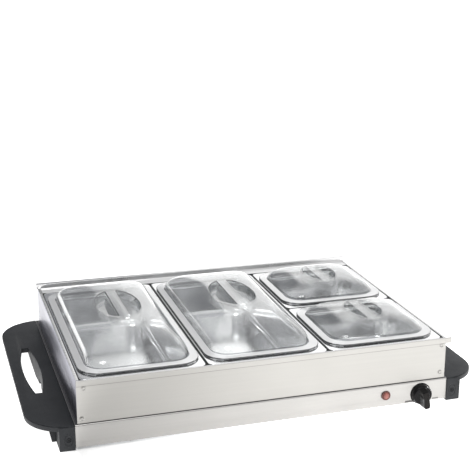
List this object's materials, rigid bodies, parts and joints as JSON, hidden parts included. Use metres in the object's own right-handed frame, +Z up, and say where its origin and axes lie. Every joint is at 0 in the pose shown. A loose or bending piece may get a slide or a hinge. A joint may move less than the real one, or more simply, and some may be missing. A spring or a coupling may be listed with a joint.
{
  "type": "chafing dish",
  "caption": "Electric warming tray with end handles and a front knob, carrying a lift-off steel frame of hanging food pans, each under a clear domed lid with a recessed grip.",
  "frame": {"origin": "on the table, under the middle of the overall box", "axes": "+X along the length towards the end with the knob and the small pans, +Y from the front panel towards the rear rail, +Z up"},
  "size_m": [0.631, 0.4172, 0.1285],
  "materials": {
    "deck_steel": "brushed, folded sheet",
    "frame_steel": "brushed along the length",
    "pan_steel": "bright polished",
    "zinc_steel": "zinc plated",
    "aluminium_sheet": "mill finish",
    "handle_plastic": "satin moulded, dark slate",
    "knob_plastic": "semi-gloss black",
    "foot_rubber": "matte black",
    "lamp_lens": "translucent red orange",
    "ceramic": "off-white steatite or phenolic",
    "lead_sleeve": "woven glass sleeve over silicone",
    "clear_plastic": "clear, polished"
  },
  "bodies": {
    "base": {"base_shell": "deck_steel", "bottom_cover": "zinc_steel", "cover_screw_1": "zinc_steel", "cover_screw_2": "zinc_steel", "cover_screw_3": "zinc_steel", "cover_screw_4": "zinc_steel", "heating_element": "aluminium_sheet", "element_strap_1": "aluminium_sheet", "element_strap_2": "aluminium_sheet", "element_strap_3": "aluminium_sheet", "heat_shield": "aluminium_sheet", "left_handle": "handle_plastic", "right_handle": "handle_plastic", "left_front_foot": "foot_rubber", "left_back_foot": "foot_rubber", "right_front_foot": "foot_rubber", "right_back_foot": "foot_rubber", "left_front_leg_screw": "zinc_steel", "left_back_leg_screw": "zinc_steel", "right_front_leg_screw": "zinc_steel", "right_back_leg_screw": "zinc_steel", "left_front_bracket": "zinc_steel", "left_back_bracket": "zinc_steel", "right_front_bracket": "zinc_steel", "right_back_bracket": "zinc_steel", "thermostat": "ceramic", "thermostat_nut": "zinc_steel", "indicator_lens": "lamp_lens", "lamp_holder": "knob_plastic", "terminal_block": "ceramic", "thermal_cutout": "ceramic", "supply_lead": "lead_sleeve", "heater_lead": "lead_sleeve", "element_lead": "lead_sleeve", "return_lead": "lead_sleeve", "lamp_lead": "lead_sleeve", "cord_bush": "foot_rubber"},
    "control": {"thermostat_shaft": "zinc_steel", "control_knob": "knob_plastic"},
    "frame": {"front_panel": "frame_steel", "rear_panel": "frame_steel", "left_wall": "frame_steel", "right_wall": "frame_steel", "left_divider": "frame_steel", "right_divider": "frame_steel", "short_divider": "frame_steel"},
    "left_pan_body": {"left_pan": "pan_steel"},
    "left_lid_body": {"left_lid": "clear_plastic"},
    "middle_pan_body": {"middle_pan": "pan_steel"},
    "middle_lid_body": {"middle_lid": "clear_plastic"},
    "rear_small_pan_body": {"rear_small_pan": "pan_steel"},
    "rear_small_lid_body": {"rear_small_lid": "clear_plastic"},
    "front_small_pan_body": {"front_small_pan": "pan_steel"},
    "front_small_lid_body": {"front_small_lid": "clear_plastic"}
  },
  "joints": [
    {"name": "knob_turn", "type": "hinge", "parent": "base", "child": "control", "pos_m": [0.218, -0.19635, 0.0175], "axis": [0, 1, 0], "range_deg": [-290, 0]},
    {"name": "frame_lift", "type": "slide", "parent": "base", "child": "frame", "axis": [0, 0, 1], "range_m": [0, 0.12]},
    {"name": "left_pan_lift", "type": "slide", "parent": "frame", "child": "left_pan_body", "axis": [0, 0, 1], "range_m": [0, 0.1]},
    {"name": "left_lid_lift", "type": "slide", "parent": "left_pan_body", "child": "left_lid_body", "axis": [0, 0, 1], "range_m": [0, 0.1]},
    {"name": "middle_pan_lift", "type": "slide", "parent": "frame", "child": "middle_pan_body", "axis": [0, 0, 1], "range_m": [0, 0.1]},
    {"name": "middle_lid_lift", "type": "slide", "parent": "middle_pan_body", "child": "middle_lid_body", "axis": [0, 0, 1], "range_m": [0, 0.1]},
    {"name": "rear_small_pan_lift", "type": "slide", "parent": "frame", "child": "rear_small_pan_body", "axis": [0, 0, 1], "range_m": [0, 0.1]},
    {"name": "rear_small_lid_lift", "type": "slide", "parent": "rear_small_pan_body", "child": "rear_small_lid_body", "axis": [0, 0, 1], "range_m": [0, 0.1]},
    {"name": "front_small_pan_lift", "type": "slide", "parent": "frame", "child": "front_small_pan_body", "axis": [0, 0, 1], "range_m": [0, 0.1]},
    {"name": "front_small_lid_lift", "type": "slide", "parent": "front_small_pan_body", "child": "front_small_lid_body", "axis": [0, 0, 1], "range_m": [0, 0.1]}
  ]
}
